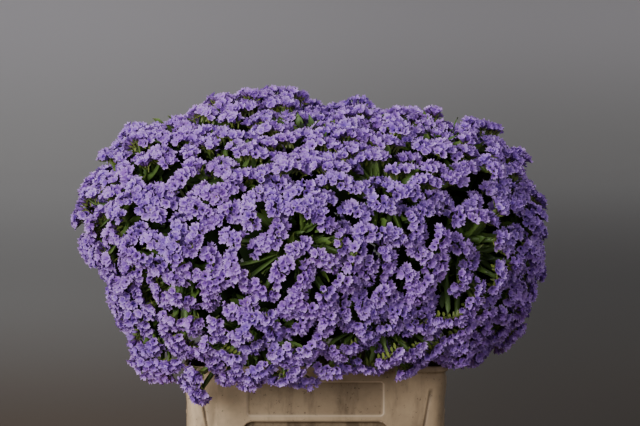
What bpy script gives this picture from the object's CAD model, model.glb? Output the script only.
"""Statice in a crate: ruffled lilac florets in curved spikes, on winged green stems.

Run as a script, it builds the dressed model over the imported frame. Metres, +Z up, front at -Y.
"""

import math
import random

import bpy
import numpy as np
from bpy.props import FloatProperty, FloatVectorProperty, IntProperty, PointerProperty
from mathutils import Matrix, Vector


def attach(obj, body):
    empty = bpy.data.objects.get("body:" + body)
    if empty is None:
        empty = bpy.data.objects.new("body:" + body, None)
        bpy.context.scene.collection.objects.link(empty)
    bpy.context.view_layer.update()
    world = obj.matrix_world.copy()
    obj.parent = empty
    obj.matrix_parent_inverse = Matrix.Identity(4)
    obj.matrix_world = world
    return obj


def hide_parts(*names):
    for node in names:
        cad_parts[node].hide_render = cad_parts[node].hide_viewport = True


bl_info = {
    "name": "Statice in a Crate",
    "blender": (4, 5, 0),
    "version": (1, 0, 0),
    "location": "View3D > Sidebar > Statice",
    "description": "Builds a crate of statice: florets, stems, crate and stage",
    "category": "Add Mesh",
}

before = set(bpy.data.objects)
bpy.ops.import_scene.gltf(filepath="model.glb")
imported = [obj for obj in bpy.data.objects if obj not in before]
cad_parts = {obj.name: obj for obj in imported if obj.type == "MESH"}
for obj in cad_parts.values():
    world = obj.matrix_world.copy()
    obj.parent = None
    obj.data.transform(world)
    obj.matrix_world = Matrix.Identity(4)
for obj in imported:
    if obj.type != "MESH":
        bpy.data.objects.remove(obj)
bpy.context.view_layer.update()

UP = np.array([0.0, 0.0, 1.0])
RIGHT = np.array([1.0, 0.0, 0.0])
GOLDEN_TURN = math.pi * (3 - math.sqrt(5))

# Crate, as in the solids
CRATE_LENGTH = 0.395
CRATE_DEPTH = 0.295
CRATE_HEIGHT = 0.300
CRATE_FOOT_SHARE = 0.925
CRATE_WALL = 0.003
CRATE_FLOOR = 0.004
CRATE_CORNER = 0.022
OVERSHOOT = 0.010
RIM_HEIGHT = 0.009
RIM_LIP = 0.003
PANEL_WIDTH = 0.202
PANEL_TOP = 0.276
PANEL_SINK = 0.004
PANEL_CORNER = 0.004
LEDGE_HEIGHT = 0.010
HANDHOLD_WIDTH = 0.218
HANDHOLD_TOP = 0.226
HANDHOLD_BOTTOM = 0.062
HANDHOLD_SINK = 0.009
HANDHOLD_CORNER = 0.016
GROOVE_PLACE = 0.171
GROOVE_LEAN = 0.17
GROOVE_WIDTH = 0.0035
GROOVE_TOP = 0.264
GROOVE_BOTTOM = 0.150
GROOVE_SINK = 0.0013

# Crate, finer than in the solids
EDGE_ROUND = 0.0024
FINE_STEP = 0.0020
GROOVE_STEP = 0.0011
GROOVE_START = 0.147
FINE_MARGIN = 0.004
SIDE_RIB = 0.0035
SIDE_RIB_WIDTH = 0.008
SIDE_RIB_SPAN = 0.34
FOOT_ROUND = ((0.0020, 0.0), (0.0006, 0.0006))
RIM_ROUND = (
    (0.0010, 0.0), (0.0002, 0.0006), (0.0, 0.0016), (0.0, RIM_HEIGHT - 0.0014),
    (0.0005, RIM_HEIGHT - 0.0004), (0.0014, RIM_HEIGHT), (0.0040, RIM_HEIGHT),
)
INSIDE_HEIGHTS = (
    0.2996, 0.2985, 0.287, 0.283, 0.279, 0.275, 0.24,
    0.20, 0.16, 0.12, 0.08, 0.04, 0.006, CRATE_FLOOR,
)

# Flower mass and its sprays, as in the solids
MASS_CENTRE = np.array([0.0, 0.0, 0.500])
MASS_HALF_LENGTH = 0.352
MASS_HALF_DEPTH = 0.292
MASS_RISE = 0.212
MASS_DROP = 0.240
UPPER_POWER = 2.0
LOWER_POWER = 4.0
OUTLINE = np.array([
    0.362, 0.340, 0.253, 0.208, 0.196, 0.236, 0.253, 0.345,
    0.369, 0.318, 0.332, 0.237, 0.227, 0.215, 0.304, 0.350,
])
SPRAY_COUNT = 29
LOWEST_ANGLE = math.radians(124.0)
SPREAD_ROUNDS = 120
SPRAY_FORCE = 0.000005
HEAD_ROUNDS = 60
HEAD_FORCE = 0.0000001
START_REACH = 0.092
WALL_MARGIN = 0.012
SPREAD_LIMIT = 0.006
LIFT_RANGE = (-0.002, 0.020)
NODE_DEPTH = 0.098
HEADS_PER_SPRAY = 23
TIER_DEPTH = 0.016
CLEARANCE = 0.0003
RIM_CLEARANCE = 0.004
FOOT_HALF_LENGTH = 0.150
FOOT_HALF_DEPTH = 0.096
STEM_RISE = 0.340
STEM_LEAN = 0.010
STEM_BEND = 0.130

# Spikes and their florets, each a range or a usual size
SPIKE_LOOSENESS = 0.17
SPIKE_TURN = 0.45
LOW_SPIKE_TURN = 0.75
SPIKE_SCALE = (0.68, 1.18)
SPIKE_BEND = (0.020, 0.036)
SPIKE_SICKLE = (-12, 12)
STRAY_STAND_OUT = (0.006, 0.014)
ROW_LEAN = 0.52
ROW_GAP = 0.0016
FLORET_UNREST = 0.20
FLORET_DEPTH = (-0.0026, 0.0022)
FLORET_SCALE = (0.84, 1.14)

# A floret's rings, each with its number of points, radius, height and place on the map
FLORET_RINGS = ((5, 0.17, 0.12, 0.08), (10, 0.46, 0.79, 0.50), (20, 1.0, 1.0, 1.0))
LOBE_WIDTHS = (1.0, 1.08, 0.78, 1.08)
LOBE_RISES = (-0.0004, 0.0011, -0.0012, -0.0001)

# Green parts, with the numbers of their materials
STEM, BRACT, INNER, DEEP = range(4)
STEM_LEAVES = (0.56, 0.66, 0.74, 0.82, 0.90)
INNER_LEAVES = ((0.24, INNER), (0.33, STEM), (0.42, INNER), (0.50, STEM), (0.56, STEM))
CORE_DEPTH = 0.068
CORE_SECTORS = 18
CORE_ROUNDS = 5
RACHIS_RADII = (0.0008, 0.0014, 0.0018, 0.0018, 0.0014, 0.0008)
BRACT_WIDTH = 0.0027
COMB_WIDTH = 0.0048
COMB_PLACES = np.array([-0.75, -0.35, 0.05, 0.45, 0.8])

# Stage, and each lamp's name, place, width and power
VIEW_MIDDLE = Vector((0.0067, 0.0, 0.5185))
SENSOR_WIDTH = 36.0
SHEET_REACH = 12.0
SHEET_BEND = 2.0
SHEET_TOP = 6.0
SHEET_DROP = 0.0005
LAMPS = (
    ("key", (-2.3, -2.9, 1.5), 2.2, 122.0),
    ("fill", (2.2, -3.2, 1.0), 2.2, 7.0),
    ("top", (-0.5, 0.3, 3.4), 2.0, 34.0),
)
SKY_COLOUR = (0.82, 0.84, 0.90)
SKY_STRENGTH = 0.41


# Settings that a user would change


def measure(title, description, default, low, high):
    return FloatProperty(
        name=title, description=description, default=default, min=low, max=high, unit="LENGTH",
    )


def portion(title, description, default, high=1.0):
    return FloatProperty(
        name=title, description=description, default=default, min=0.0, max=high, subtype="FACTOR",
    )


def paint(title, description, default):
    return FloatVectorProperty(
        name=title, description=description, default=default, min=0.0, max=1.0, subtype="COLOR",
    )


class CrateSettings(bpy.types.PropertyGroup):
    """The moulded flower crate."""

    colour: paint("Colour", "Colour of the clean plastic", (0.74, 0.555, 0.365))
    stain: paint("Stain", "Colour of the scuffs and water marks", (0.12, 0.075, 0.038))


class FlowerSettings(bpy.types.PropertyGroup):
    """The papery florets and how they crowd on their spikes."""

    mouth: measure("Mouth", "Radius of a floret's open mouth", 0.0068, 0.003, 0.012)
    length: measure("Length", "Length of a floret from its base to its mouth", 0.0125, 0.006, 0.020)
    spacing: measure("Spacing", "Distance between florets along a spike", 0.0072, 0.005, 0.020)
    clumping: portion("Clumping", "How far a spike moves to the middle of its branch's spikes", 0.10, 0.5)
    stray_share: portion("Strays", "Share of the spikes that stand out of the mass", 0.10)
    settle: measure(
        "Settle", "How far the topmost spikes sink under their florets' weight", 0.016, 0.0, 0.03
    )
    hang: measure("Hang", "How much lower the spikes round the crate's rim may hang", 0.008, 0.0, 0.03)
    open_share: portion("Open", "Share of the floret shapes with a tiny cream flower inside", 0.30)
    half_length: measure("Spike half length", "Half the usual length of a spike", 0.0205, 0.010, 0.040)
    rising: portion("Rising", "How much the upper spikes turn up", 0.55, 2.0)
    variants: IntProperty(
        name="Variants", description="How many shapes of floret there are", default=14, min=1, max=40,
    )
    lilac: paint("Lilac", "Colour of a floret between its throat and its rim", (0.375, 0.165, 0.67))
    rim: paint("Rim", "Colour of the thin papery rim", (0.78, 0.52, 0.96))
    throat: paint("Throat", "Colour deep in a floret", (0.120, 0.040, 0.165))
    cream: paint("Cream", "Colour of the tiny flower in a floret's throat", (0.52, 0.42, 0.32))


class GreenSettings(bpy.types.PropertyGroup):
    """Stems, wings, leaves and the bracts under the florets."""

    stem: paint("Stem", "Colour of the stems and leaves", (0.085, 0.155, 0.030))
    bract: paint("Bract", "Colour of the bracts under the florets", (0.155, 0.205, 0.042))
    shade: paint("Shade", "Colour of the crowded leaves inside", (0.034, 0.062, 0.016))
    deep: paint("Deep", "Colour where stalks and leaves close up in the dark", (0.012, 0.020, 0.007))
    dry: paint("Dry", "Colour of dry tips", (0.16, 0.10, 0.03))
    bract_length: measure("Bract length", "Length of a bract", 0.0110, 0.003, 0.020)


class StageSettings(bpy.types.PropertyGroup):
    """Floor, backdrop, lights and camera."""

    lens: FloatProperty(
        name="Lens", description="Focal length of the camera in millimetres",
        default=180.0, min=20.0, max=300.0,
    )
    elevation: FloatProperty(
        name="Elevation", description="How far the camera looks down",
        default=math.radians(4.0), min=0.0, max=1.5, subtype="ANGLE",
    )
    view_width: measure("View width", "Width of the view at the crate's front", 0.9480, 0.2, 3.0)
    backdrop: paint("Backdrop", "Colour of the backdrop", (0.78, 0.735, 0.735))
    floor: paint("Floor", "Colour of the floor", (0.082, 0.056, 0.036))


# Layout of the sprays, as in the solids


def unit(vectors):
    return vectors / np.linalg.norm(vectors, axis=-1, keepdims=True)


def swung(first, second, turn):
    """The first way, turned towards the second by an angle."""
    return first * np.cos(turn) + second * np.sin(turn)


def oval_reach(across, upright, power):
    return (across**power + upright**power) ** (-1 / power)


def reach(ways):
    """How far the skin of the flower mass lies from its centre along unit vectors."""
    above = ways[..., 2] > 0
    power = np.where(above, UPPER_POWER, LOWER_POWER)
    height = np.where(above, MASS_RISE, MASS_DROP)
    across = np.hypot(ways[..., 0] / MASS_HALF_LENGTH, ways[..., 1] / MASS_HALF_DEPTH)
    plain = oval_reach(across, np.abs(ways[..., 2]) / height, power)
    flat = np.maximum(np.hypot(ways[..., 0], ways[..., 2]), 1e-6)
    across = np.abs(ways[..., 0]) / flat / MASS_HALF_LENGTH
    section = oval_reach(across, np.abs(ways[..., 2]) / flat / height, power)
    place = np.arctan2(ways[..., 2], ways[..., 0]) / math.tau * len(OUTLINE)
    first = np.floor(place).astype(int)
    share = place - first
    share = share * share * (3 - 2 * share)
    traced = (1 - share) * OUTLINE[first % len(OUTLINE)] + share * OUTLINE[(first + 1) % len(OUTLINE)]
    return plain * (1 + flat**3 * (traced / section - 1))


def outward(ways):
    """The skin's normal where unit vectors from the centre meet it."""
    height = np.where(ways[..., 2] > 0, MASS_RISE, MASS_DROP)
    slope = ways / np.array([MASS_HALF_LENGTH**2, MASS_HALF_DEPTH**2, 1.0])
    slope[..., 2] = ways[..., 2] / height**2
    return unit(slope)


def skin(ways, depth=0.0):
    return MASS_CENTRE + ways * reach(ways)[..., None] - outward(ways) * depth


def spiral(count):
    """Unit vectors in a spiral from the top down to the lowest angle."""
    turn = GOLDEN_TURN * np.arange(count)
    z = 1 - (1 - math.cos(LOWEST_ANGLE)) * (np.arange(count) + 0.35) / count
    flat = np.sqrt(1 - z * z)
    return np.stack([flat * np.cos(turn), flat * np.sin(turn), z], axis=1)


def limited(push):
    size = np.maximum(np.linalg.norm(push, axis=1, keepdims=True), 1e-9)
    return push * np.minimum(1.0, SPREAD_LIMIT / size)


def pushed(points, force):
    """The push on each point from all the others, which falls off fast with distance."""
    apart = points[:, None] - points[None]
    length = np.maximum(np.linalg.norm(apart, axis=2, keepdims=True), 1e-6)
    return limited((apart / length**4 * (length > 1e-5)).sum(axis=1) * force)


def spray_ways():
    """Unit vectors from the centre to each spray, spread evenly over the skin."""
    ways = spiral(SPRAY_COUNT)
    lowest = math.cos(LOWEST_ANGLE)
    for _ in range(SPREAD_ROUNDS):
        points = skin(ways)
        ways = unit(points + pushed(points, SPRAY_FORCE) - MASS_CENTRE)
        low = ways[:, 2] < lowest
        ways[low, 2] = lowest
        ways[low, :2] = unit(ways[low, :2]) * math.sqrt(1 - lowest * lowest)
    return ways


def rim_wall(way):
    """The slanting plane past the crate's rim that the flowers on this side stay outside."""
    flat = unit(np.array([way[0], way[1], 0.0]))
    rim = abs(flat[0]) * CRATE_LENGTH / 2 + abs(flat[1]) * CRATE_DEPTH / 2 + RIM_CLEARANCE
    return -unit(flat + UP), flat * rim + UP * (CRATE_HEIGHT + RIM_CLEARANCE)


def bezier(points, t):
    """Points of a cubic curve at the shares t of its way."""
    t = np.asarray(t)[..., None]
    a, b, c, d = points
    return a * (1 - t) ** 3 + b * 3 * t * (1 - t) ** 2 + c * 3 * t * t * (1 - t) + d * t**3


class Spray:
    """Where one spray stands, and where its spikes of florets are."""

    def __init__(self, index, ways):
        chance = random.Random(100 + index)
        self.number = index + 1
        self.name = f"spray_{self.number:02d}"
        self.lift = chance.uniform(*LIFT_RANGE)
        centre = skin(ways[index])
        across = np.delete(skin(ways), index, axis=0) - centre
        slant, past = rim_wall(ways[index])
        self.faces = np.vstack([unit(across), slant])
        self.middles = np.vstack([centre + across / 2, past])
        self.face(ways[index])
        start = chance.uniform(0, math.tau)
        points = self.spread_heads(centre, start)
        self.face(unit(points.mean(axis=0) - MASS_CENTRE))
        self.node = skin(self.way, NODE_DEPTH - self.lift)
        tiers = TIER_DEPTH * (0.5 + 0.5 * np.sin(np.arange(HEADS_PER_SPRAY) * 2.1 + start))
        self.outs = outward(unit(points - MASS_CENTRE))
        self.tops = points + self.outs * (self.lift - tiers)[:, None]
        self.rays = unit(self.tops - self.node)
        self.groups = self.share_out()

    def face(self, way):
        """Turns the spray's own axes to face out along this way from the mass's centre."""
        self.way = way
        self.normal = outward(way)
        side = np.cross(UP, self.normal)
        self.side = unit(side) if np.linalg.norm(side) > 0.05 else RIGHT
        self.rise = np.cross(self.normal, self.side)

    def room(self, points):
        """How far inside each wall of this spray's own space each point lies."""
        return ((self.middles - points[..., None, :]) * self.faces).sum(axis=-1)

    def spread_heads(self, centre, start):
        """Points for the heads, spread evenly over this spray's share of the skin."""
        number = np.arange(HEADS_PER_SPRAY)
        radius = START_REACH * np.sqrt((number + 0.5) / HEADS_PER_SPRAY)
        angle = start + GOLDEN_TURN * number
        points = centre + (
            self.side * (radius * np.cos(angle))[:, None] + self.rise * (radius * np.sin(angle))[:, None]
        )
        for _ in range(HEAD_ROUNDS):
            over = np.maximum(self.room(points), WALL_MARGIN)[..., None]
            walls = (self.faces / (2 * over) ** 3).sum(axis=1) * HEAD_FORCE
            points = points + limited(pushed(points, HEAD_FORCE) - walls)
            for across, middle in zip(self.faces, self.middles):
                past = (points - middle) @ across + WALL_MARGIN
                points = points - across * np.maximum(past, 0.0)[:, None]
            points = skin(unit(points - MASS_CENTRE))
        return points

    def path(self, t):
        """Points of the stem's curve, from its foot at 0 to the node at 1."""
        share = math.acos(self.way[2]) / LOWEST_ANGLE
        flat = unit(np.array([self.way[0], self.way[1], 0.0]))
        foot = flat * np.array([FOOT_HALF_LENGTH, FOOT_HALF_DEPTH, 0.0]) * share
        foot[2] = CRATE_FLOOR + CLEARANCE
        first = foot + UP * STEM_RISE + flat * STEM_LEAN * share
        second = self.node - self.normal * STEM_BEND
        return bezier((foot, first, second, self.node), t)

    def share_out(self):
        """The number of the branch that carries each head: one in the middle, five round it."""
        offsets = self.tops - self.node
        bearings = np.arctan2(offsets @ self.rise, offsets @ self.side)
        leans = np.arccos(np.clip(self.rays @ self.normal, -1, 1))
        sector = np.floor((bearings + math.pi) / math.tau * 5).astype(int) % 5
        return np.where(leans < np.quantile(leans, 0.22), 5, sector)

    def fork(self, group):
        """Where a branch divides, and the way it points there."""
        way = unit(self.rays[self.groups == group].mean(axis=0) * 0.6 + self.normal * 0.4)
        return self.node + way * 0.042, way

    def aside(self, chance):
        """A chance way across the spray."""
        return self.side * chance.uniform(-1, 1) + self.rise * chance.uniform(-1, 1)


def all_sprays():
    ways = spray_ways()
    return [Spray(index, ways) for index in range(SPRAY_COUNT)]


class Spike:
    """One curved, one-sided spike: its rachis, and its florets in three rows."""

    def __init__(self, spray, number, settings):
        chance = random.Random(f"{spray.name} spike {number}")
        outs, top = spray.outs[number], spray.tops[number]
        clump = spray.tops[spray.groups == spray.groups[number]].mean(axis=0)
        rising = UP * settings.rising * max(0.0, outs[2] + 0.30)
        loose = np.array([chance.gauss(0, SPIKE_LOOSENESS) for _ in range(3)])
        self.out = unit(outs * 0.55 + spray.rays[number] * 0.45 + rising + loose)
        level = np.cross(UP, self.out)
        if np.linalg.norm(level) < 0.35:
            level = spray.side - self.out * np.dot(spray.side, self.out)
        level = unit(level)
        lowness = 1.0 - min(1.0, max(0.0, outs[2] * 2.0))
        turn = chance.gauss(0, SPIKE_TURN + LOW_SPIKE_TURN * lowness)
        self.along = swung(level, np.cross(self.out, level), turn)
        self.across = np.cross(self.out, self.along)
        self.half = settings.half_length * chance.uniform(*SPIKE_SCALE)
        self.bend = chance.uniform(*SPIKE_BEND)
        self.sickle = chance.uniform(*SPIKE_SICKLE)
        stand_out = chance.gauss(-0.0035, 0.0045)
        if chance.random() < settings.stray_share:
            stand_out += chance.uniform(*STRAY_STAND_OUT)
        past_rim = max(abs(top[0]) - CRATE_LENGTH / 2, abs(top[1]) - CRATE_DEPTH / 2, 0.0)
        hang = min(settings.hang, past_rim * 0.4) if outs[2] < 0.15 else 0.0
        top = top + (clump - top) * settings.clumping + self.out * stand_out
        top = top - UP * (settings.settle * max(0.12, outs[2]) + hang)
        self.base = top - self.out * (settings.length + chance.uniform(-0.001, 0.003))
        self.stand_florets(settings, chance)

    def rachis(self, s):
        """Points along the spike's own stalk, s metres from its middle."""
        s = np.asarray(s)[..., None]
        drop = self.bend * (np.cos(s / self.bend) - 1)
        return (
            self.base + self.along * self.bend * np.sin(s / self.bend)
            + self.out * drop + self.across * self.sickle * s * s
        )

    def stand_florets(self, settings, chance):
        """Stands the florets along the rachis, the outer rows leaning out."""
        count = max(3, round(2 * self.half / settings.spacing))
        bases, axes, rows = [], [], []
        for row in (-1, 0, 1):
            steps = count + abs(row)
            for step in range(steps):
                s = self.half * (2 * (step + 0.5) / steps - 1) + chance.uniform(-0.0016, 0.0016)
                tilt = s / self.bend * 1.05 + chance.gauss(0, FLORET_UNREST)
                roll = row * ROW_LEAN + chance.gauss(0, FLORET_UNREST)
                axes.append(swung(swung(self.out, self.along, tilt), self.across, roll))
                depth = chance.uniform(*FLORET_DEPTH)
                bases.append(self.rachis(s) + self.across * ROW_GAP * row + self.out * depth)
                rows.append(row)
        self.bases, self.axes, self.rows = np.array(bases), unit(np.array(axes)), np.array(rows)


# Meshes


def new_piece(name, points, faces, maps, materials):
    """A smooth-shaded object, with maps for its faces' corners and its materials."""
    mesh = bpy.data.meshes.new(name)
    mesh.from_pydata(points, [], faces)
    mesh.shade_smooth()
    for title, values in maps.items():
        mesh.uv_layers.new(name=title).data.foreach_set("uv", values.ravel())
    for material in materials:
        mesh.materials.append(material)
    mesh.update()
    made = bpy.data.objects.new(name, mesh)
    bpy.context.scene.collection.objects.link(made)
    return made


class Heap:
    """The points and triangles of one piece, gathered before they become a mesh.

    Each element, such as a floret or a blade, has its own square of the bake map, where its
    places run from 0 to 1 both ways, and its own tone.
    """

    def __init__(self):
        self.count = 0
        self.elements = 0
        self.points, self.faces, self.slots = [], [], []
        self.places, self.cells, self.tones = [], [], []

    def add(self, points, faces, slots, places, cells, tones):
        """Adds triangles, with a place for each of their corners and a cell and tone for each."""
        points = np.asarray(points, float).reshape(-1, 3)
        faces = np.asarray(faces, int).reshape(-1, 3)
        self.points.append(points)
        self.faces.append(faces + self.count)
        self.slots.append(np.broadcast_to(slots, len(faces)))
        self.places.append(places)
        self.cells.append(np.broadcast_to(np.asarray(cells) + self.elements, len(faces)))
        self.tones.append(np.broadcast_to(tones, (len(faces), 2)))
        self.count += len(points)
        self.elements += int(np.max(cells)) + 1

    def add_copies(self, points, faces, slots, places, tones):
        """Adds elements that share their triangles and the map places of their points."""
        count, size = points.shape[:2]
        start = (np.arange(count) * size)[:, None, None]
        self.add(
            points, faces + start, np.tile(np.broadcast_to(slots, len(faces)), count),
            np.tile(places[faces.ravel()], (count, 1)), np.repeat(np.arange(count), len(faces)),
            np.repeat(tones, len(faces), axis=0),
        )

    def piece(self, name, materials):
        """An object of everything gathered, with its maps and materials."""
        places = np.concatenate(self.places)
        side = math.ceil(math.sqrt(self.elements))
        cells = np.repeat(np.concatenate(self.cells), 3)
        corner = np.stack([cells % side, cells // side], axis=1)
        maps = {
            "OFBake": (corner + 0.05 + 0.90 * places) / side,
            "place": places,
            "tone": np.repeat(np.concatenate(self.tones), 3, axis=0),
        }
        points, faces = np.concatenate(self.points), np.concatenate(self.faces)
        made = new_piece(name, points, faces, maps, materials)
        made.data.polygons.foreach_set("material_index", np.concatenate(self.slots))
        made.data.update()
        return made


def hand_over(piece, replaced):
    """Lets a piece ride on the part and stand for one of its nodes."""
    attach(piece, "root")
    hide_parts(replaced)


def square_to(axes):
    """Two vectors for each axis, square to it and to each other."""
    first = unit(np.cross(np.where(np.abs(axes[:, 2:3]) < 0.9, UP, RIGHT), axes))
    return first, np.cross(axes, first)


def frames_along(axes, spins):
    """For each axis, three rows: two vectors square to it, turned by the spin, and the axis."""
    across = swung(*square_to(axes), spins[:, None])
    return np.stack([across, np.cross(axes, across), axes], axis=1)


def ring_faces(rings):
    """Triangles between closed rings of point numbers, where each may have twice as many."""
    faces = []
    for low, high in zip(rings, rings[1:]):
        step = len(high) // len(low)
        for here in range(len(high)):
            after = (here + 1) % len(high)
            under = low[here // step]
            if (here + 1) % step == 0:
                follow = low[(here // step + 1) % len(low)]
                faces.append((under, follow, high[after]))
            faces.append((under, high[after], high[here]))
    return faces


def sleeve(rows, size):
    """Triangles between closed rings, and their corners' places from 0 to 1 along and round."""
    row, here = np.arange(rows)[:, None], np.arange(size)[None]
    low, high, after = row * size, (row + 1) * size, (here + 1) % size
    bottom, top, left, right = row / rows, (row + 1) / rows, here / size, (here + 1) / size
    faces, places = [], []
    for corners, spots in (
        ((low + here, low + after, high + after), ((bottom, left), (bottom, right), (top, right))),
        ((low + here, high + after, high + here), ((bottom, left), (top, right), (top, left))),
    ):
        faces.append(np.stack(corners, axis=-1).reshape(-1, 3))
        spots = [np.stack(np.broadcast_arrays(*spot), axis=-1) for spot in spots]
        places.append(np.stack(spots, axis=-2).reshape(-1, 2))
    return np.concatenate(faces), np.concatenate(places)


# Crate


def rounded_box(x, z, half_x, half_z, corner):
    """How far places are outside a rounded rectangle, negative inside it."""
    over_x = np.abs(x) - half_x + corner
    over_z = np.abs(z) - half_z + corner
    outside = np.hypot(np.maximum(over_x, 0), np.maximum(over_z, 0))
    return outside + np.minimum(np.maximum(over_x, over_z), 0) - corner


def sunk(distance, depth):
    """A depth that is reached inside an outline, with a rounded edge along it."""
    share = np.clip(0.5 - distance / EDGE_ROUND, 0, 1)
    return depth * share * share * (3 - 2 * share)


def long_relief(x, z):
    """How deep the panel and hand-hold, and the grooves, are sunk at a height on a long wall."""
    middle = (PANEL_TOP + HANDHOLD_TOP) / 2
    panel = rounded_box(x, z - middle, PANEL_WIDTH / 2, PANEL_TOP - middle, PANEL_CORNER)
    top = HANDHOLD_TOP - LEDGE_HEIGHT
    middle = (top + HANDHOLD_BOTTOM) / 2
    hold = rounded_box(x, z - middle, HANDHOLD_WIDTH / 2, top - middle, HANDHOLD_CORNER)
    line = GROOVE_PLACE + GROOVE_LEAN * (z - GROOVE_TOP)
    groove = np.abs(np.abs(x) - line) - GROOVE_WIDTH / 2
    groove = np.maximum(groove, max(z - GROOVE_TOP, GROOVE_BOTTOM - z))
    return np.maximum(sunk(panel, PANEL_SINK), sunk(hold, HANDHOLD_SINK)), sunk(groove, GROOVE_SINK)


def short_relief(y, z):
    """The ribs that stand out on the two short walls, as a negative depth."""
    middle = (PANEL_TOP + HANDHOLD_BOTTOM) / 2
    half = CRATE_DEPTH * SIDE_RIB_SPAN
    border = np.abs(rounded_box(y, z - middle, half, PANEL_TOP - middle, HANDHOLD_CORNER))
    bar = np.maximum(np.abs(z - HANDHOLD_TOP), np.abs(y) - half)
    return -sunk(np.minimum(border, bar) - SIDE_RIB_WIDTH / 2, SIDE_RIB)


def spaced(*runs):
    """Places in runs, each from a start to an end by a whole number of them or by a distance."""
    places = []
    for start, end, gap in runs:
        if isinstance(gap, int):
            places.append(np.linspace(start, end, gap, endpoint=False))
        else:
            places.append(np.arange(start, end, gap))
    return np.concatenate(places)


def wall_places(end):
    """Distances from a long wall's middle to its corner, close together at edges and groove."""
    full = CRATE_LENGTH / 2 - RIM_LIP - CRATE_CORNER
    bend = PANEL_WIDTH / 2 - HANDHOLD_CORNER
    edges = HANDHOLD_WIDTH / 2 + FINE_MARGIN
    inner = spaced((0.0, bend, 8), (bend, edges, FINE_STEP))
    outer = spaced((edges, GROOVE_START, 4), (GROOVE_START, full, GROOVE_STEP))
    outer = edges + (np.append(outer, full) - edges) * (end - edges) / (full - edges)
    return np.concatenate([inner, outer])


def relief_heights():
    """Heights of the outside's rings over its foot, close together at the edges of its relief."""
    bottom = HANDHOLD_BOTTOM - FINE_MARGIN
    bend = HANDHOLD_BOTTOM + HANDHOLD_CORNER
    ledge = HANDHOLD_TOP - LEDGE_HEIGHT - HANDHOLD_CORNER
    ledge_top = HANDHOLD_TOP + FINE_MARGIN
    panel_top = PANEL_TOP - FINE_MARGIN - PANEL_CORNER
    wall_top = CRATE_HEIGHT - RIM_HEIGHT
    fine = spaced(
        (0.010, bottom, 4), (bottom, bend, FINE_STEP), (bend, GROOVE_BOTTOM, 7),
        (GROOVE_BOTTOM, ledge, 9), (ledge, ledge_top, FINE_STEP), (ledge_top, panel_top, 6),
        (panel_top, PANEL_TOP + FINE_MARGIN, FINE_STEP),
    )
    return [0.0022, *fine, wall_top - 0.004, wall_top]


def crate_ring(half_x, half_y, z, corner=CRATE_CORNER, relief=False):
    """Places round the crate at one height, anticlockwise from its front's middle.

    Two more numbers say how far each is sunk and how far it is in a groove, from 0 to 1.
    """
    x = wall_places(half_x - corner)
    y = np.linspace(-1, 1, 31) * (half_y - corner)
    turn = np.linspace(0, math.pi / 2, 8)[1:-1]
    front = np.column_stack([x, np.full(len(x), -half_y)])
    bend = corner * np.column_stack([np.sin(turn), -np.cos(turn)])
    bend += [half_x - corner, corner - half_y]
    side = np.column_stack([np.full(len(y), half_x), y])
    back = np.concatenate([bend[::-1], front[::-1]]) * [1, -1]
    right = np.concatenate([front, bend, side, back])
    ring = np.concatenate([right, (right[::-1] * [-1, 1])[1:-1]])
    points = np.column_stack([ring, np.full(len(ring), z), np.zeros((len(ring), 2))])
    if relief:
        on_long = np.abs(points[:, 1]) > half_y - corner * 0.6
        on_short = np.abs(points[:, 0]) > half_x - corner * 0.5
        depth, groove = [part * on_long for part in long_relief(points[:, 0], z)]
        width = short_relief(points[:, 1], z) * on_short
        points[:, 1] -= np.sign(points[:, 1]) * (depth + groove)
        points[:, 0] -= np.sign(points[:, 0]) * width
        points[:, 3] = depth / HANDHOLD_SINK
        points[:, 4] = groove / GROOVE_SINK
    return points


def outer_half(z):
    """Half the length and depth of the crate's outside at this height."""
    share = CRATE_FOOT_SHARE + (1 - CRATE_FOOT_SHARE) * z / (CRATE_HEIGHT - RIM_HEIGHT / 2)
    return np.array([CRATE_LENGTH / 2 - RIM_LIP, CRATE_DEPTH / 2 - RIM_LIP]) * share


def inner_half(z):
    """Half the length and depth of the crate's inside at this height."""
    share = (z - CRATE_FLOOR) / (CRATE_HEIGHT + OVERSHOOT - CRATE_FLOOR)
    half = np.array([CRATE_LENGTH, CRATE_DEPTH]) / 2 - RIM_LIP - CRATE_WALL
    return half * (CRATE_FOOT_SHARE + (1 - CRATE_FOOT_SHARE) * share)


def outside_rings():
    """The rings of the crate's outside, then those over its rounded rim."""
    rings = [crate_ring(*(outer_half(0.0) - inset), rise) for inset, rise in FOOT_ROUND]
    rings += [crate_ring(*outer_half(z), z, relief=True) for z in relief_heights()]
    half = np.array([CRATE_LENGTH, CRATE_DEPTH]) / 2
    foot = CRATE_HEIGHT - RIM_HEIGHT
    return rings + [crate_ring(*(half - inset), foot + rise) for inset, rise in RIM_ROUND]


def inside_rings():
    """The rings down the crate's inside, past the pads behind its sunk panels, to its floor."""
    hollow = CRATE_CORNER - CRATE_WALL
    rings = []
    for z in INSIDE_HEIGHTS:
        ring = crate_ring(*inner_half(z), z, hollow)
        across = np.abs(ring[:, 0]) - HANDHOLD_WIDTH / 2 - CRATE_WALL
        below = z - PANEL_TOP - CRATE_WALL
        pad = np.minimum(sunk(across, HANDHOLD_SINK), sunk(below, HANDHOLD_SINK))
        on_long = np.abs(ring[:, 1]) > inner_half(z)[1] - hollow * 0.6
        ring[:, 1] -= np.sign(ring[:, 1]) * pad * on_long
        ring[:, 3] = 1.0
        rings.append(ring)
    return rings


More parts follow.
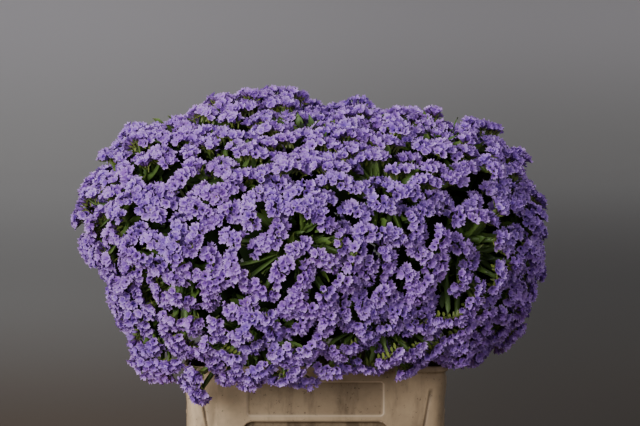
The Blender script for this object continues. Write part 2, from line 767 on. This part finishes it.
def build_crate(material):
    """The moulded crate with rounded edges, sunk panels and ribs, as one closed skin."""
    rings = outside_rings() + inside_rings()
    size, rows = len(rings[0]), len(rings) - 1
    points = np.concatenate([*rings, [[0.0, 0.0, 0.0, 0.0, 0.0], [0.0, 0.0, CRATE_FLOOR, 1.0, 0.0]]])
    points, marks = points[:, :3], points[:, 3:]
    here = np.arange(size)
    after = (here + 1) % size
    walls, spots = sleeve(rows, size)
    faces, places = [walls], [spots[:, ::-1] * [1.0, 0.8]]
    for number, ends in enumerate(((after, here), (rows * size + here, rows * size + after))):
        cap = np.column_stack([np.full(size, len(points) - 2 + number), *ends])
        faces.append(cap)
        spots = points[cap.ravel(), :2] / CRATE_LENGTH * [0.45, 0.18]
        places.append(spots + [0.25 + 0.5 * number, 0.9])
    faces = np.concatenate(faces)
    maps = {"OFBake": np.concatenate(places), "sunk": marks[faces.ravel()]}
    hand_over(new_piece("crate_moulded", points, faces, maps, [material]), "crate")


# Florets


def floret_shape(settings, chance):
    """Points, triangles, their slots and polar places of one crumpled funnel with five lobes."""
    mouth, length = settings.mouth, settings.length
    spread = chance.uniform(0.76, 1.10)
    oval = chance.uniform(0.78, 1.0)
    points, places, rings = [], [], []

    def put(angle, wide, squeeze, up, place):
        points.append((wide * squeeze * math.cos(angle), wide * math.sin(angle), up))
        places.append((0.5 + place * math.cos(angle), 0.5 + place * math.sin(angle)))
        return len(points) - 1

    for sides, radius, height, place in FLORET_RINGS:
        ring = []
        for number in range(sides):
            wide, up = radius * mouth, height * length
            if sides == 10:
                fold = 1 if number % 2 == 0 else -1
                wide *= spread * (1 + 0.16 * fold) * chance.uniform(0.92, 1.08)
                up += (1.05 - spread) * mouth * 0.3 - 0.0008 * fold
            if sides == 20:
                wide *= spread * LOBE_WIDTHS[number % 4] * chance.uniform(0.88, 1.12)
                up += (1.05 - spread) * mouth + LOBE_RISES[number % 4]
                up += chance.uniform(-0.0013, 0.0013)
            ring.append(put(math.tau * number / sides, wide, oval, up, 0.5 * place))
        rings.append(ring)
    faces = ring_faces(rings)
    slots = [0] * len(faces)
    if chance.random() < settings.open_share:
        middle = put(0.0, 0.0, 1.0, 0.60 * length, 0.0)
        for number in range(10):
            share, up = (0.30, 0.74) if number % 2 else (0.11, 0.64)
            put(math.tau * (number + 0.5) / 10, share * mouth, 1.0, up * length, 0.1 * share)
        faces += [(middle, middle + 1 + n, middle + 1 + (n + 1) % 10) for n in range(10)]
        slots += [1] * 10
    return np.array(points), np.array(faces), np.array(slots), np.array(places)


def build_flowers(spray, shapes, settings, materials):
    """All the florets of one spray as one piece."""
    spikes = [Spike(spray, number, settings) for number in range(HEADS_PER_SPRAY)]
    bases = np.concatenate([spike.bases for spike in spikes])
    axes = np.concatenate([spike.axes for spike in spikes])
    count = len(bases)
    draw = np.random.default_rng(spray.number)
    frames = frames_along(axes, draw.uniform(0, math.tau, count))
    scale = draw.uniform(*FLORET_SCALE, count)
    kinds = draw.integers(0, len(shapes), count)
    tones = draw.uniform(0, 1, (count, 2))
    heap = Heap()
    for kind, (points, faces, slots, places) in enumerate(shapes):
        chosen = np.flatnonzero(kinds == kind)
        if len(chosen):
            moved = np.einsum("pk,nkx->npx", points, frames[chosen]) * scale[chosen, None, None]
            heap.add_copies(moved + bases[chosen, None], faces, slots, places, tones[chosen])
    hand_over(heap.piece(f"{spray.name}_florets", materials), f"{spray.name}_flowers")


# Green parts


def tube(heap, points, radii, sides, slot, tone, wings=0, wave=0.0, twist=0.0):
    """A tapering tube along points, pinched in between its wings where it has some."""
    step, here = np.arange(len(points))[:, None], np.arange(sides)[None]
    radius = np.outer(radii, np.ones(sides))
    if wings:
        rippled = 1.0 + wave * np.sin(step * 2.3 + 1.7 * here)
        radius = radius * np.where(here % (sides // wings) == 0, rippled, 0.28)
    turn = here * math.tau / sides + twist * step
    first, second = square_to(unit(np.gradient(points, axis=0)))
    rings = swung(first[:, None], second[:, None], turn[..., None]) * radius[..., None]
    faces, places = sleeve(len(points) - 1, sides)
    last = (len(points) - 1) * sides
    caps = [(last, last + n, last + n + 1) for n in range(1, sides - 1)]
    places = np.concatenate([places, np.full((3 * len(caps), 2), 0.99)])
    heap.add(points[:, None] + rings, np.concatenate([faces, caps]), slot, places, 0, (tone, 0.5))


BLADE_PLACES = np.array([
    (0.0, 0.0), (0.0, 0.5), (0.0, 1.0), (0.5, 0.0), (0.5, 0.5), (0.5, 1.0), (1.0, 0.5),
])
BLADE_FACES = np.array([(0, 1, 4), (0, 4, 3), (1, 2, 5), (1, 5, 4), (3, 4, 6), (4, 5, 6)])


def blades(heap, roots, ways, ups, lengths, width, tones, curl):
    """Pointed bracts folded along their middle, each from its root along its way."""
    ways = unit(ways)
    ups = unit(ups - ways * (ups * ways).sum(axis=1, keepdims=True))
    across = np.cross(ways, ups)
    lengths = np.array(lengths)[:, None, None]
    share = BLADE_PLACES[None, :, :1]
    edge = BLADE_PLACES[None, :, 1:] * 2 - 1
    half = np.where(share > 0.9, 0.0, np.where(share > 0.2, 0.5, 0.2)) * width
    points = (
        roots[:, None] + ways[:, None] * lengths * share
        - ups[:, None] * lengths * curl * share**2
        + across[:, None] * half * edge + ups[:, None] * half * 0.5 * np.abs(edge)
    )
    tones = np.column_stack([tones, np.zeros(len(roots))])
    heap.add_copies(points, BLADE_FACES, BRACT, BLADE_PLACES, tones)


def leaf(heap, root, way, up, length, width, slot, chance, steps=8, edges=(-1, -0.5, 0, 0.5, 1)):
    """A lance-shaped leaf with waved edges, arched along its length."""
    way = unit(way)
    up = unit(up - way * np.dot(up, way))
    across = np.cross(way, up)
    phase = chance.uniform(0, math.tau)
    arch = chance.uniform(0.12, 0.45)
    share = np.linspace(0, 1, steps + 1)[:, None]
    edge = np.array(edges)[None]
    half = width / 2 * np.sin(math.pi * (0.08 + 0.92 * share) ** 0.85) + 0.0002
    wave = width * 0.16 * np.sin(8.6 * share + edge * 1.3 + phase) * np.abs(edge)
    lifted = wave + width * 0.14 * edge**2 - length * arch * share**2
    points = (
        root + way * (length * (share - 0.12 * share**2))[..., None]
        + across * (half * edge)[..., None] + up * lifted[..., None]
    )
    row = len(edges)
    start = (np.arange(steps)[:, None] * row + np.arange(row - 1)[None]).ravel()
    faces = np.concatenate([
        np.column_stack([start, start + 1, start + row + 1]),
        np.column_stack([start, start + row + 1, start + row]),
    ])
    places = np.stack(np.broadcast_arrays(share, edge / 2 + 0.5), axis=-1).reshape(-1, 2)
    heap.add(points, faces, slot, places[faces.ravel()], 0, (chance.random(), 0.2))


def grow_stem(spray, heap, chance):
    """The winged stem from the crate's floor to the node, with its leaves."""
    share = np.linspace(0, 1, 28)
    radii = 0.0062 * (1 - 0.40 * share)
    tube(heap, spray.path(share), radii, 12, STEM, chance.random(), wings=4, wave=0.16, twist=0.035)
    for t in STEM_LEAVES:
        here = spray.path(t)
        along = unit(spray.path(t + 0.02) - here)
        out = unit(spray.side * chance.choice((-1, 1)) + spray.rise * chance.uniform(-1, 1))
        leaf(heap, here, along + out * 0.7, out, chance.uniform(0.055, 0.085), 0.015, STEM, chance)


def grow_branches(spray, heap, chance):
    """The branches from the node to where each divides, with small leaves there."""
    for group in np.unique(spray.groups):
        fork, way = spray.fork(group)
        start = spray.node - spray.normal * 0.004
        line = (start, spray.node + spray.normal * 0.012, fork - way * 0.012, fork)
        points = bezier(line, np.linspace(0, 1, 6))
        radii = np.linspace(0.0050, 0.0042, 6)
        tube(heap, points, radii, 9, STEM, chance.random(), wings=3, wave=0.18)
        for _ in range(3):
            out = unit(way + spray.aside(chance))
            leaf(heap, fork, out, spray.normal, chance.uniform(0.030, 0.050), 0.011, STEM, chance)


def grow_inner_leaves(spray, heap, chance):
    """Narrow crowded leaves that rise under the florets and close the view between them."""
    for top, ray in zip(spray.tops, spray.rays):
        for share, slot in INNER_LEAVES:
            share += chance.uniform(-0.06, 0.06)
            root = spray.node + (top - spray.node) * share
            aside = spray.aside(chance)
            aside = unit(aside - ray * np.dot(aside, ray))
            leaf(
                heap, root + aside * 0.004, ray + aside * chance.uniform(0.3, 1.0), aside,
                chance.uniform(0.034, 0.046) * (1.25 - share), chance.uniform(0.008, 0.013), slot,
                chance, steps=4, edges=(-1, 0, 1),
            )


def grow_core(spray, heap, chance):
    """A crumpled cup deep under the florets, where stalks and leaves close up in the dark."""
    turn = np.arange(CORE_SECTORS) * math.tau / CORE_SECTORS
    round_way = swung(spray.side, spray.rise, turn[:, None])
    leans = np.linspace(0, 1.5, 60)[None, :, None]
    ways = unit(swung(spray.normal, round_way[:, None], leans))
    length = np.full(ways.shape[:2], 0.05)
    for _ in range(6):
        from_middle = spray.node + ways * length[..., None] - MASS_CENTRE
        over = np.linalg.norm(from_middle, axis=-1) - reach(unit(from_middle)) + CORE_DEPTH - spray.lift
        length = np.clip(length - over, 0.004, 0.15)
    inside = spray.room(spray.node + ways * length[..., None]).min(axis=-1) > 0.001
    last = np.maximum(inside.cumprod(axis=1).sum(axis=1) - 1, 1)
    points = [spray.node + ways[0, 0] * length[0, 0]]
    for step in range(1, CORE_ROUNDS + 1):
        for sector in range(CORE_SECTORS):
            pick = int(round(last[sector] * step / CORE_ROUNDS))
            drop = chance.uniform(-0.010, 0.006)
            points.append(spray.node + ways[sector, pick] * (length[sector, pick] + drop))
    here = np.arange(CORE_SECTORS)
    fan = np.column_stack([0 * here, 1 + here, 1 + (here + 1) % CORE_SECTORS])
    walls, _ = sleeve(CORE_ROUNDS - 1, CORE_SECTORS)
    faces = np.concatenate([fan, 1 + walls[:, ::-1]])
    radius = np.repeat(np.arange(1, CORE_ROUNDS + 1), CORE_SECTORS) / CORE_ROUNDS / 2
    angle = np.tile(turn, CORE_ROUNDS)
    places = np.column_stack([0.5 + radius * np.cos(angle), 0.5 + radius * np.sin(angle)])
    places = np.vstack([[0.5, 0.5], places])
    heap.add(points, faces, DEEP, places[faces.ravel()], 0, (0.1, 0.0))


def grow_spikes(spray, heap, flowers, settings, chance):
    """The stalk, rachis and comb of bracts of every spike."""
    for number in range(HEADS_PER_SPRAY):
        spike = Spike(spray, number, flowers)
        fork, way = spray.fork(spray.groups[number])
        join = spike.rachis(0.0)
        line = bezier((fork, fork + way * 0.018, join - spike.out * 0.024, join), np.linspace(0, 1, 7))
        radii = np.linspace(0.0062, 0.0036, 7)
        tube(heap, line, radii, 6, STEM, chance.random(), wings=3, wave=0.22)
        along = np.linspace(-spike.half, spike.half, len(RACHIS_RADII))
        tube(heap, spike.rachis(along), RACHIS_RADII, 4, BRACT, 0.4)
        either = [chance.choice((-1, 1)) for _ in spike.rows]
        beside = spike.across * np.where(spike.rows == 0, either, spike.rows)[:, None]
        for lean, size, every in ((0.50, 1.0, 1), (0.20, 0.85, 2)):
            bases, axes, sides = [part[::every] for part in (spike.bases, spike.axes, beside)]
            lengths = [settings.bract_length * size * chance.uniform(0.8, 1.15) for _ in bases]
            tones = [chance.random() for _ in bases]
            roots = bases - spike.out * 0.0020
            blades(heap, roots, axes + sides * lean, sides, lengths, BRACT_WIDTH, tones, curl=-0.08)
        sides = spike.across * np.array([chance.choice((-1, 1)) for _ in COMB_PLACES])[:, None]
        lengths = [chance.uniform(0.011, 0.016) for _ in COMB_PLACES]
        tones = [chance.random() for _ in COMB_PLACES]
        roots = spike.rachis(COMB_PLACES * spike.half) - spike.out * 0.010
        blades(heap, roots, spike.out + sides * 0.35, sides, lengths, COMB_WIDTH, tones, curl=-0.10)


def build_green(spray, flowers, settings, materials):
    """The winged stem of one spray with its branches, leaves and bracts, as one piece."""
    chance = random.Random(f"{spray.name} green")
    heap = Heap()
    for grow in (grow_stem, grow_branches, grow_inner_leaves, grow_core):
        grow(spray, heap, chance)
    grow_spikes(spray, heap, flowers, settings, chance)
    hand_over(heap.piece(f"{spray.name}_greenery", materials), f"{spray.name}_stem")


# Shader maths


def operator_pair(operation):
    """A maths operator for a wire with something after it, and for one with something before."""

    def plain(self, other):
        return self.maths(operation, other)

    def reflected(self, other):
        return self.node("ShaderNodeMath", {"operation": operation}, {0: other, 1: self})

    return plain, reflected


class Wire:
    """A node's socket that maths operators can be used on, or a bare start for new nodes."""

    __add__, __radd__ = operator_pair("ADD")
    __sub__, __rsub__ = operator_pair("SUBTRACT")
    __mul__, __rmul__ = operator_pair("MULTIPLY")
    __truediv__, __rtruediv__ = operator_pair("DIVIDE")
    __pow__, __rpow__ = operator_pair("POWER")

    def __init__(self, tree, socket=None):
        self.tree = tree
        self.socket = socket

    def node(self, kind, settings=None, inputs=None, output=0):
        """Adds a node, sets its settings, then its sockets' values or links."""
        made = self.tree.nodes.new(kind)
        for name, value in (settings or {}).items():
            setattr(made, name, value)
        for name, value in (inputs or {}).items():
            socket = made.inputs[name]
            if isinstance(value, Wire):
                self.tree.links.new(value.socket, socket)
            elif socket.type == "RGBA":
                socket.default_value = (*value, 1.0)
            else:
                socket.default_value = value
        return Wire(self.tree, made.outputs[output])

    def maths(self, operation, *others):
        return self.node("ShaderNodeMath", {"operation": operation}, dict(enumerate((self, *others))))

    def parts(self, count):
        """The first numbers of a vector, each as a wire of its own."""
        return [self.node("ShaderNodeSeparateXYZ", inputs={0: self}, output=n) for n in range(count)]

    def clamped(self):
        return self.maths("MAXIMUM", 0.0).maths("MINIMUM", 1.0)

    def step(self, low, high):
        """0 under low, 1 over high, and smooth between them."""
        return self.node(
            "ShaderNodeMapRange", {"interpolation_type": "SMOOTHSTEP"},
            {"Value": self, "From Min": low, "From Max": high},
        )

    def feed(self, shader, name):
        self.tree.links.new(self.socket, shader.inputs[name])


def mixed(factor, first, second):
    """Two colours mixed by a factor's wire."""
    inputs = {"Factor": factor, 6: first, 7: second}
    return factor.node("ShaderNodeMix", {"data_type": "RGBA"}, inputs, output=2)


def new_material(name, colour=(0.5, 0.5, 0.5), roughness=0.6):
    """A material, the wire that its nodes start from, and its shader."""
    material = bpy.data.materials.new(name)
    material.use_nodes = True
    shader = material.node_tree.nodes["Principled BSDF"]
    shader.inputs["Base Color"].default_value = (*colour, 1.0)
    shader.inputs["Roughness"].default_value = roughness
    return material, Wire(material.node_tree), shader


def map_parts(start, name):
    return start.node("ShaderNodeUVMap", {"uv_map": name}).parts(2)


def object_place(start):
    return start.node("ShaderNodeTexCoord", output=3)


def noise(start, scale, detail=4.0, roughness=0.6, stretch=(1.0, 1.0, 1.0)):
    """Noise over the object's own metres, stretched where asked."""
    inputs = {0: object_place(start), 1: stretch}
    place = start.node("ShaderNodeVectorMath", {"operation": "MULTIPLY"}, inputs)
    inputs = {"Vector": place, "Scale": scale, "Detail": detail, "Roughness": roughness}
    return start.node("ShaderNodeTexNoise", inputs=inputs)


def times(colour, *shares):
    return tuple(min(1.0, part * share) for part, share in zip(colour, shares))


def floret_material(settings):
    """Lilac paper: pale at the rim, veined, and dark in the throat."""
    material, start, shader = new_material("floret_lilac", roughness=0.65)
    x, y = [(part - 0.5) * 2.0 for part in map_parts(start, "place")]
    tone, shade = map_parts(start, "tone")
    radius = (x * x + y * y) ** 0.5
    angle = y.maths("ARCTAN2", x)
    veins = ((angle * 15.0 + tone * 20.0).maths("SINE") * 0.5 + 0.5) ** 1.5
    drift = noise(start, 9.0, 2.0).step(0.35, 0.65)
    lilac = mixed(drift, times(settings.lilac, 0.84, 0.88, 0.98), times(settings.lilac, 1.20, 1.08, 1.02))
    lilac = mixed(tone, lilac, times(settings.lilac, 1.40, 1.60, 1.20))
    pale = mixed(radius.step(0.62, 1.00) * (shade * 0.75 + 0.25), lilac, settings.rim)
    veined = mixed(veins * radius.step(0.15, 0.6) * 0.32, pale, times(settings.lilac, 0.64, 0.52, 0.78))
    mixed(1.0 - radius.step(0.13, 0.38), veined, settings.throat).feed(shader, "Base Color")
    return material


def green_material(name, colour, dry, gloss=0.5):
    """Leaf green with streaks along it, some of it paler, and dry at the tips."""
    material, start, shader = new_material(name)
    shader.inputs["Specular IOR Level"].default_value = gloss
    along, across = map_parts(start, "place")
    tone, _ = map_parts(start, "tone")
    spots = noise(start, 130.0, 3.0)
    ribs = (across * 44.0).maths("SINE") * 0.5 + 0.5
    light = (tone * 0.6 + spots * 0.3 + ribs * 0.15).clamped()
    base = mixed(light, times(colour, 0.62, 0.68, 0.7), times(colour, 1.9, 1.7, 1.5))
    mixed(along.step(0.72, 1.04) * tone * 0.6, base, dry).feed(shader, "Base Color")
    (spots * 0.25 + (0.88 - gloss)).feed(shader, "Roughness")
    return material


def crate_material(settings):
    """Matte tan plastic: paler at its left, worn along its edges, and dirty where it is sunk."""
    material, start, shader = new_material("crate_tan", roughness=0.55)
    depth, groove = map_parts(start, "sunk")
    streaks = noise(start, 30.0, 5.0, 0.62, (1.0, 1.0, 0.26))
    broad = noise(start, 11.0)
    fine = noise(start, 170.0, 4.0, 0.7)
    grime = streaks.step(0.48, 0.70) * 0.44 + broad.step(0.44, 0.68) * 0.30
    specks = fine.step(0.62, 0.69) * 1.1 * broad
    hollow = depth.step(0.02, 0.9) * (fine * 0.5 + 0.50) + groove * 0.7
    worn = depth.step(0.01, 0.10) * (1.0 - depth.step(0.14, 0.40)) * 0.75
    left, right = times(settings.colour, 1.18, 1.15, 1.08), times(settings.colour, 0.70, 0.65, 0.58)
    plain = mixed(object_place(start).parts(1)[0].step(-0.20, 0.16), left, right)
    shaded = mixed(broad.step(0.35, 0.65) * 0.25, plain, times(settings.colour, 0.62, 0.58, 0.52))
    stained = mixed((grime + specks + hollow).clamped(), shaded, settings.stain)
    mixed(worn, stained, times(settings.colour, 1.15, 1.20, 1.30)).feed(shader, "Base Color")
    (fine * 0.22 + streaks * 0.15 + 0.36).feed(shader, "Roughness")
    bump = start.node("ShaderNodeBump", inputs={"Strength": 0.25, "Distance": 0.0006, "Height": fine})
    bump.feed(shader, "Normal")
    return material


def stage_material(settings):
    """A plain sheet: a warm dark floor, and a backdrop that is darker at its right."""
    material, start, shader = new_material("stage_sheet", roughness=0.9)
    x, y, z = object_place(start).parts(3)
    aside = x / (y.maths("MAXIMUM", 0.0) + 4.9)
    right = aside.step(-0.095, 0.075) * (0.76 - y.step(3.0, 11.0) * 0.38 - z.step(0.0, 0.7) * 0.15)
    near = mixed(y.step(1.0, 4.2), settings.floor, times(settings.backdrop, 0.36, 0.36, 0.33))
    ground = mixed(y.step(3.0, 10.5), near, times(settings.backdrop, 0.79, 0.81, 0.76))
    upright = mixed(z.step(0.0, 0.8), ground, settings.backdrop)
    mixed(right, upright, times(settings.floor, 0.35, 0.40, 0.46)).feed(shader, "Base Color")
    return material


# Operators


class STATICE_OT_crate(bpy.types.Operator):
    """Builds the moulded crate with its rounded edges, sunk panels and ribs"""

    bl_idname = "statice.crate"
    bl_label = "Crate"

    def execute(self, context):
        build_crate(crate_material(context.scene.statice_crate))
        return {"FINISHED"}


class STATICE_OT_florets(bpy.types.Operator):
    """Raises every spray's spikes of ruffled florets"""

    bl_idname = "statice.florets"
    bl_label = "Florets"

    def execute(self, context):
        settings = context.scene.statice_flowers
        chance = random.Random(7)
        shapes = [floret_shape(settings, chance) for _ in range(settings.variants)]
        cream = new_material("floret_cream", settings.cream)[0]
        materials = [floret_material(settings), cream]
        for spray in all_sprays():
            build_flowers(spray, shapes, settings, materials)
        return {"FINISHED"}


class STATICE_OT_greenery(bpy.types.Operator):
    """Grows every spray's winged stem, branches, leaves and bracts"""

    bl_idname = "statice.greenery"
    bl_label = "Greenery"

    def execute(self, context):
        settings = context.scene.statice_green
        materials = [
            green_material("stem_green", settings.stem, settings.dry),
            green_material("bract_green", settings.bract, settings.dry),
            green_material("inner_green", settings.shade, settings.stem),
            green_material("deep_green", settings.deep, settings.shade, gloss=0.05),
        ]
        for spray in all_sprays():
            build_green(spray, context.scene.statice_flowers, settings, materials)
        return {"FINISHED"}


class STATICE_OT_stage(bpy.types.Operator):
    """Sets up the floor, the backdrop, the lights and the camera"""

    bl_idname = "statice.stage"
    bl_label = "Stage"

    def execute(self, context):
        settings = context.scene.statice_stage
        self.sheet(stage_material(settings))
        camera = bpy.data.cameras.new("camera")
        camera.lens = settings.lens
        camera.sensor_width = SENSOR_WIDTH
        camera.clip_end = 50.0
        distance = settings.view_width * settings.lens / SENSOR_WIDTH + CRATE_DEPTH / 2
        way = Vector((0.0, -math.cos(settings.elevation), math.sin(settings.elevation)))
        context.scene.camera = self.aimed("camera", camera, VIEW_MIDDLE + way * distance)
        for name, place, width, power in LAMPS:
            lamp = bpy.data.lights.new(name, "AREA")
            lamp.size = width
            lamp.energy = power
            self.aimed(name, lamp, Vector(place)).visible_camera = False
        world = bpy.data.worlds.new("studio")
        context.scene.world = world
        world.use_nodes = True
        sky = world.node_tree.nodes["Background"]
        sky.inputs["Color"].default_value = (*SKY_COLOUR, 1.0)
        sky.inputs["Strength"].default_value = SKY_STRENGTH
        return {"FINISHED"}

    def sheet(self, material):
        """One sheet for floor and backdrop, with a wide bend between them."""
        turn = np.linspace(0, math.pi / 2, 25)
        start = SHEET_REACH - SHEET_BEND
        line = [(-SHEET_REACH, 0.0)]
        line += [(start + SHEET_BEND * math.sin(a), SHEET_BEND - SHEET_BEND * math.cos(a)) for a in turn]
        line.append((SHEET_REACH, SHEET_TOP))
        points = [(x, y, z - SHEET_DROP) for y, z in line for x in (-SHEET_REACH, SHEET_REACH)]
        faces = [(2 * n, 2 * n + 1, 2 * n + 3, 2 * n + 2) for n in range(len(line) - 1)]
        new_piece("stage_sheet", points, faces, {}, [material])

    def aimed(self, name, data, place):
        """A lamp or camera that looks at the middle of the view."""
        made = bpy.data.objects.new(name, data)
        bpy.context.scene.collection.objects.link(made)
        made.location = place
        made.rotation_euler = (VIEW_MIDDLE - place).to_track_quat("-Z", "Y").to_euler()
        return made


class STATICE_PT_panel(bpy.types.Panel):
    """Lists the pieces and their settings"""

    bl_label = "Statice"
    bl_idname = "STATICE_PT_panel"
    bl_space_type = "VIEW_3D"
    bl_region_type = "UI"
    bl_category = "Statice"

    def draw(self, context):
        for name, group, operator in PARTS:
            box = self.layout.box()
            box.operator(operator.bl_idname)
            for setting in group.__annotations__:
                box.prop(getattr(context.scene, name), setting)


PARTS = (
    ("statice_crate", CrateSettings, STATICE_OT_crate),
    ("statice_flowers", FlowerSettings, STATICE_OT_florets),
    ("statice_green", GreenSettings, STATICE_OT_greenery),
    ("statice_stage", StageSettings, STATICE_OT_stage),
)


def register():
    for name, group, operator in PARTS:
        bpy.utils.register_class(group)
        bpy.utils.register_class(operator)
        setattr(bpy.types.Scene, name, PointerProperty(type=group))
    bpy.utils.register_class(STATICE_PT_panel)


def unregister():
    bpy.utils.unregister_class(STATICE_PT_panel)
    for name, group, operator in reversed(PARTS):
        delattr(bpy.types.Scene, name)
        bpy.utils.unregister_class(operator)
        bpy.utils.unregister_class(group)


def main():
    register()
    bpy.ops.statice.crate()
    bpy.ops.statice.florets()
    bpy.ops.statice.greenery()
    bpy.ops.statice.stage()


if __name__ == "__main__":
    main()
